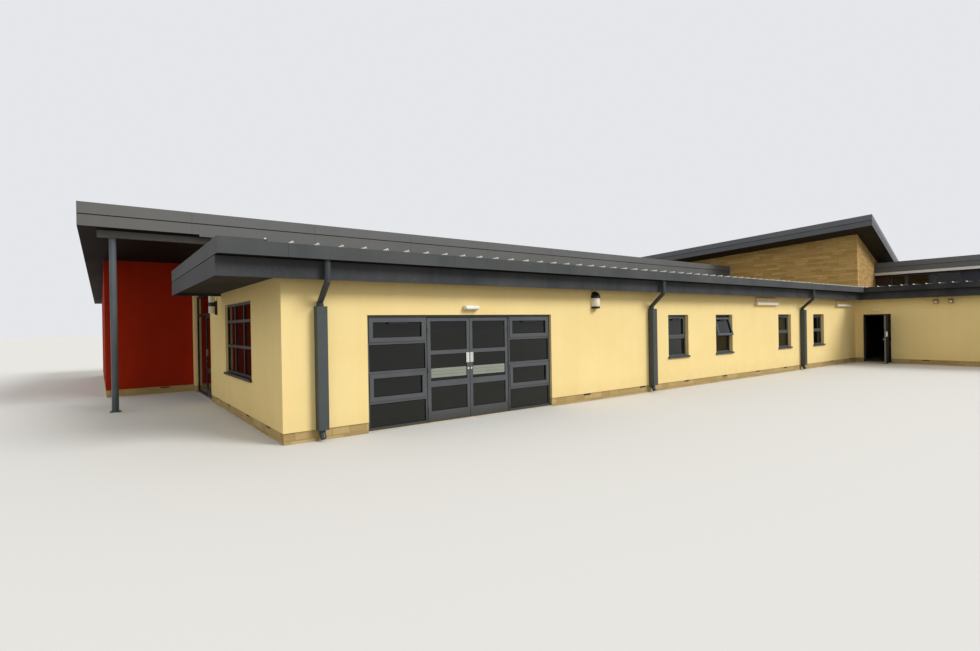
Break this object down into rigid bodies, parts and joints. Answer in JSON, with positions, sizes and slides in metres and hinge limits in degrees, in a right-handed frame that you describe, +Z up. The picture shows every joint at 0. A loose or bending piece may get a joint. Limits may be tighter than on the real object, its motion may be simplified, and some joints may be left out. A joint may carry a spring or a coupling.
{
  "type": "childcare centre",
  "caption": "Single-storey childcare centre with rendered walls, mono-pitch metal roofs, glazed front doors and a taller skewed stone hall.",
  "frame": {"origin": "middle of the whole outline, roofs included, at ground level", "axes": "+X along the long front to the right as seen from outside, +Y from the front into the building, +Z up"},
  "size_m": [38.9182, 28.7534, 6.404],
  "materials": {
    "column_steel": "satin",
    "concrete": "smooth",
    "fascia_metal": "satin",
    "frame_metal": "satin",
    "glass": "polished",
    "hall_stone": "rough",
    "lamp_body": "satin",
    "panel_board": "satin",
    "pipe_metal": "satin",
    "plinth_stone": "rough",
    "red_render": "matt",
    "render": "matt",
    "roof_metal": "satin",
    "soffit_board": "matt",
    "white_paint": "matt"
  },
  "bodies": {
    "building": {"clerestory_head_board": "white_paint", "clerestory_panels": "panel_board", "clerestory_wall": "render", "door_frames": "frame_metal", "downpipes": "pipe_metal", "frame_hinges": "frame_metal", "front_floor": "concrete", "front_low_roof": "roof_metal", "front_wall": "render", "hall_back_wall": "hall_stone", "hall_floor": "concrete", "hall_front_wall": "hall_stone", "hall_long_wall": "hall_stone", "hall_right_wall": "hall_stone", "hall_roof": "roof_metal", "hall_roof_soffit": "soffit_board", "left_wall": "red_render", "low_edge_boards": "fascia_metal", "low_soffits": "soffit_board", "main_floor": "concrete", "opening_lights": "frame_metal", "pipe_guards": "pipe_metal", "plinths_along_front": "plinth_stone", "plinths_along_sides": "plinth_stone", "porch_beam": "column_steel", "porch_column": "column_steel", "rear_wall": "render", "red_wall": "red_render", "screen_frame": "frame_metal", "side_canopy": "roof_metal", "side_light_glass": "glass", "side_wall": "render", "thresholds": "concrete", "upper_front_wall": "render", "upper_roof": "roof_metal", "upper_roof_soffit": "soffit_board", "wall_lamps": "lamp_body", "walls_over_doors": "render", "window_frames": "frame_metal", "window_glass": "glass", "window_sills": "frame_metal", "wing_back_wall": "render", "wing_end_wall": "render", "wing_floor": "concrete", "wing_high_roof": "roof_metal", "wing_high_roof_soffit": "soffit_board", "wing_low_roof": "roof_metal", "wing_wall": "render"},
    "left_screen_leaf": {"left_screen_door": "frame_metal", "left_screen_door_fittings": "frame_metal", "left_screen_door_glass": "glass"},
    "right_screen_leaf": {"right_screen_door": "frame_metal", "right_screen_door_fittings": "frame_metal", "right_screen_door_glass": "glass"},
    "entrance_leaf": {"entrance_door": "frame_metal", "entrance_door_fittings": "frame_metal", "entrance_door_glass": "glass"},
    "wing_leaf": {"wing_door": "frame_metal", "wing_door_fittings": "frame_metal"}
  },
  "joints": [
    {"name": "left_screen_door_hinge", "type": "hinge", "parent": "building", "child": "left_screen_leaf", "pos_m": [-14.06763, -6.62474, 1], "axis": [0, 0, -1], "range_deg": [0, 90]},
    {"name": "right_screen_door_hinge", "type": "hinge", "parent": "building", "child": "right_screen_leaf", "pos_m": [-12.10563, -6.62474, 1], "axis": [0, 0, 1], "range_deg": [0, 90]},
    {"name": "entrance_door_hinge", "type": "hinge", "parent": "building", "child": "entrance_leaf", "pos_m": [-16.72613, -0.08524, 1], "axis": [0, 0, 1], "range_deg": [0, 90]},
    {"name": "wing_door_hinge", "type": "hinge", "parent": "building", "child": "wing_leaf", "pos_m": [7.18787, -7.90224, 1], "axis": [0, 0, -1], "range_deg": [0, 98]}
  ]
}
